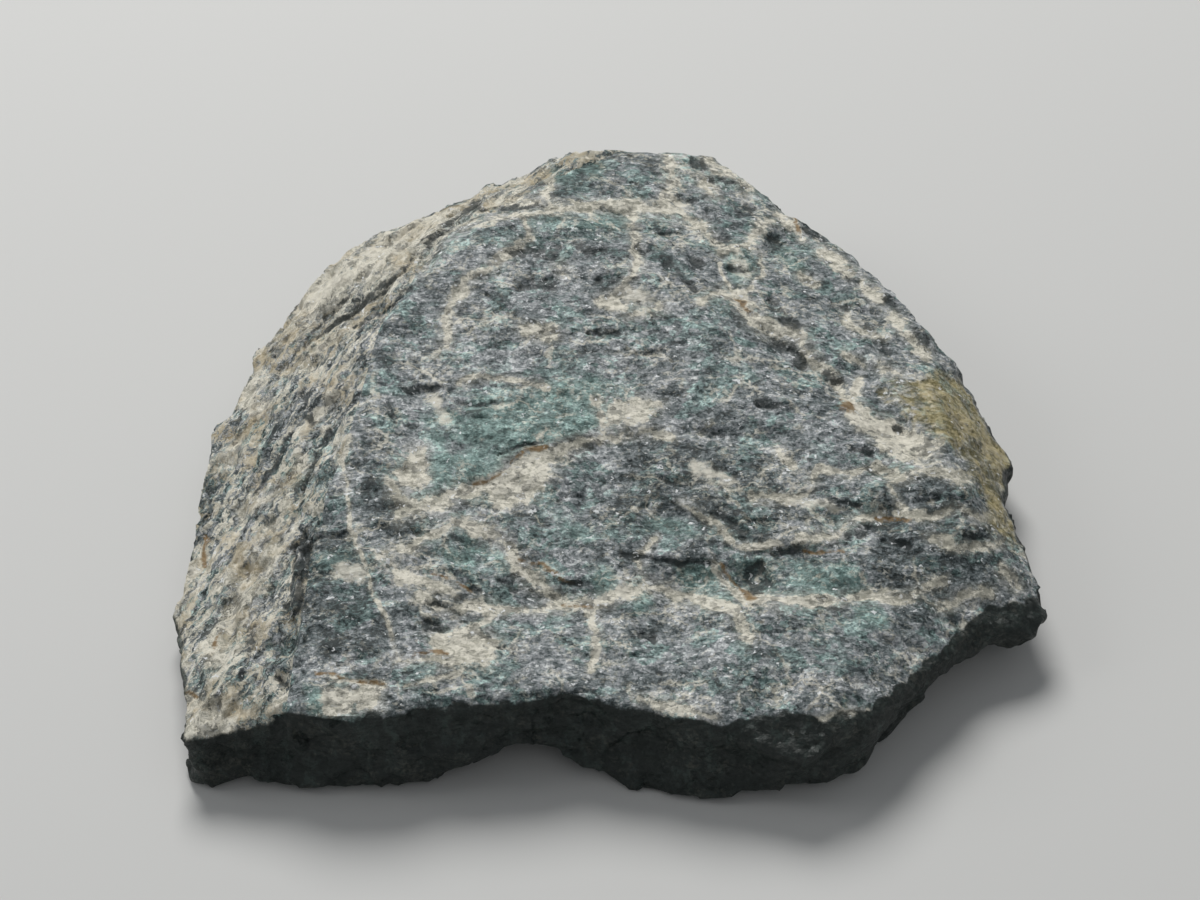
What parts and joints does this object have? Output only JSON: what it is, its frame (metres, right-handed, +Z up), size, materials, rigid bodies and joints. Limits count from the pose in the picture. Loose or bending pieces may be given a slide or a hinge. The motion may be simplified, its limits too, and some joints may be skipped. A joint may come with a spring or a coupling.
{
  "type": "grandidierite crystal",
  "caption": "Rough slab of bladed blue-green crystal with a stepped cleavage face on top, broken walls around it, and a flat patch underneath to rest on.",
  "frame": {"origin": "on the surface that the slab rests on, under the middle of its box", "axes": "+Z up, -Y towards the low broken front wall, +X towards the blunt nose at the right"},
  "size_m": [0.038, 0.0386, 0.0082],
  "materials": {
    "crystal": "rough broken mineral, dark blue-green and grey, with a silky glint along its blades and pale cream and ochre veins"
  },
  "bodies": {
    "root": {"crystal": "crystal"}
  },
  "joints": []
}
